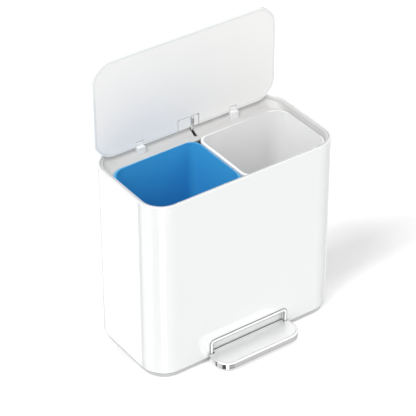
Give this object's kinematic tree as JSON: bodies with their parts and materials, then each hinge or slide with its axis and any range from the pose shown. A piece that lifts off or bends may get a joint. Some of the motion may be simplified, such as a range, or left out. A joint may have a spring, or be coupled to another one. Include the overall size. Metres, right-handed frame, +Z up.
{
  "type": "double recycling bin",
  "caption": "Free-standing pedal bin: a hinged lid over side-by-side lift-out buckets, opened by a foot pedal through a lever and a push rod.",
  "frame": {"origin": "on the floor, in the middle of the footprint that the housing and the pedal cover together", "axes": "+X to the right seen from the front, +Y to the back, +Z up"},
  "size_m": [0.45, 0.2866, 0.6288],
  "materials": {
    "white_enamel": "gloss",
    "white_trim": "gloss",
    "grey_moulding": "fine satin",
    "liner_plastic": "satin",
    "blue_plastic": "satin",
    "white_plastic": "satin",
    "brushed_tread": "brushed across",
    "bright_steel": "polished",
    "zinc_steel": "zinc plated",
    "dark_plastic": "satin",
    "nylon": "satin",
    "rubber": "matt",
    "pale_rubber": "matt"
  },
  "bodies": {
    "housing": {"body_shell": "white_enamel", "top_rim": "white_trim", "inner_collar": "grey_moulding", "hinge_bracket_left": "white_trim", "hinge_bracket_right": "white_trim", "hinge_pin_left": "zinc_steel", "hinge_pin_right": "zinc_steel", "hinge_screws": "zinc_steel", "collar_bumpers": "pale_rubber", "bucket_blue": "blue_plastic", "bucket_white": "white_plastic", "bucket_shelf": "grey_moulding", "shelf_screws": "zinc_steel", "base_tray": "grey_moulding", "rubber_feet": "rubber", "pedal_frame": "white_trim", "lever_axle": "zinc_steel", "axle_clips": "zinc_steel", "stop_pads": "rubber", "rod_channel": "grey_moulding", "damper_bracket": "dark_plastic", "damper_cylinder": "dark_plastic"},
    "lid": {"lid_shell": "white_enamel", "lid_liner": "liner_plastic", "rod_plate": "liner_plastic"},
    "rod": {"push_rod": "bright_steel", "rod_foot": "nylon"},
    "pedal": {"pedal_tread": "brushed_tread", "pedal_core": "dark_plastic", "pedal_shutter": "grey_moulding", "lever_arm_left": "zinc_steel", "lever_arm_right": "zinc_steel", "lever_crossbar": "zinc_steel", "lever_bushes": "nylon", "pedal_rivets": "zinc_steel"},
    "damper": {"damper_piston": "bright_steel", "damper_tip": "nylon"}
  },
  "joints": [
    {"name": "lid_hinge", "type": "hinge", "parent": "housing", "child": "lid", "pos_m": [0, 0.12925, 0.4193], "axis": [1, 0, 0], "range_deg": [0, 90]},
    {"name": "pedal_lever", "type": "hinge", "parent": "housing", "child": "pedal", "pos_m": [0, 0.03645, 0.022], "axis": [1, 0, 0], "range_deg": [-9.1, 0]},
    {"name": "rod_pivot", "type": "hinge", "parent": "lid", "child": "rod", "pos_m": [0.013, 0.12845, 0.4323], "axis": [1, 0, 0], "range_deg": [-89, 0]},
    {"name": "damper_slide", "type": "slide", "parent": "housing", "child": "damper", "axis": [0, 0, -1], "range_m": [0, 0.014]}
  ],
  "couplings": [
    {"joint": "pedal_lever", "follows": "lid_hinge", "ratio": -0.1},
    {"joint": "rod_pivot", "follows": "lid_hinge", "ratio": -0.98},
    {"joint": "damper_slide", "follows": "lid_hinge", "m_per_rad": 0.00878}
  ]
}
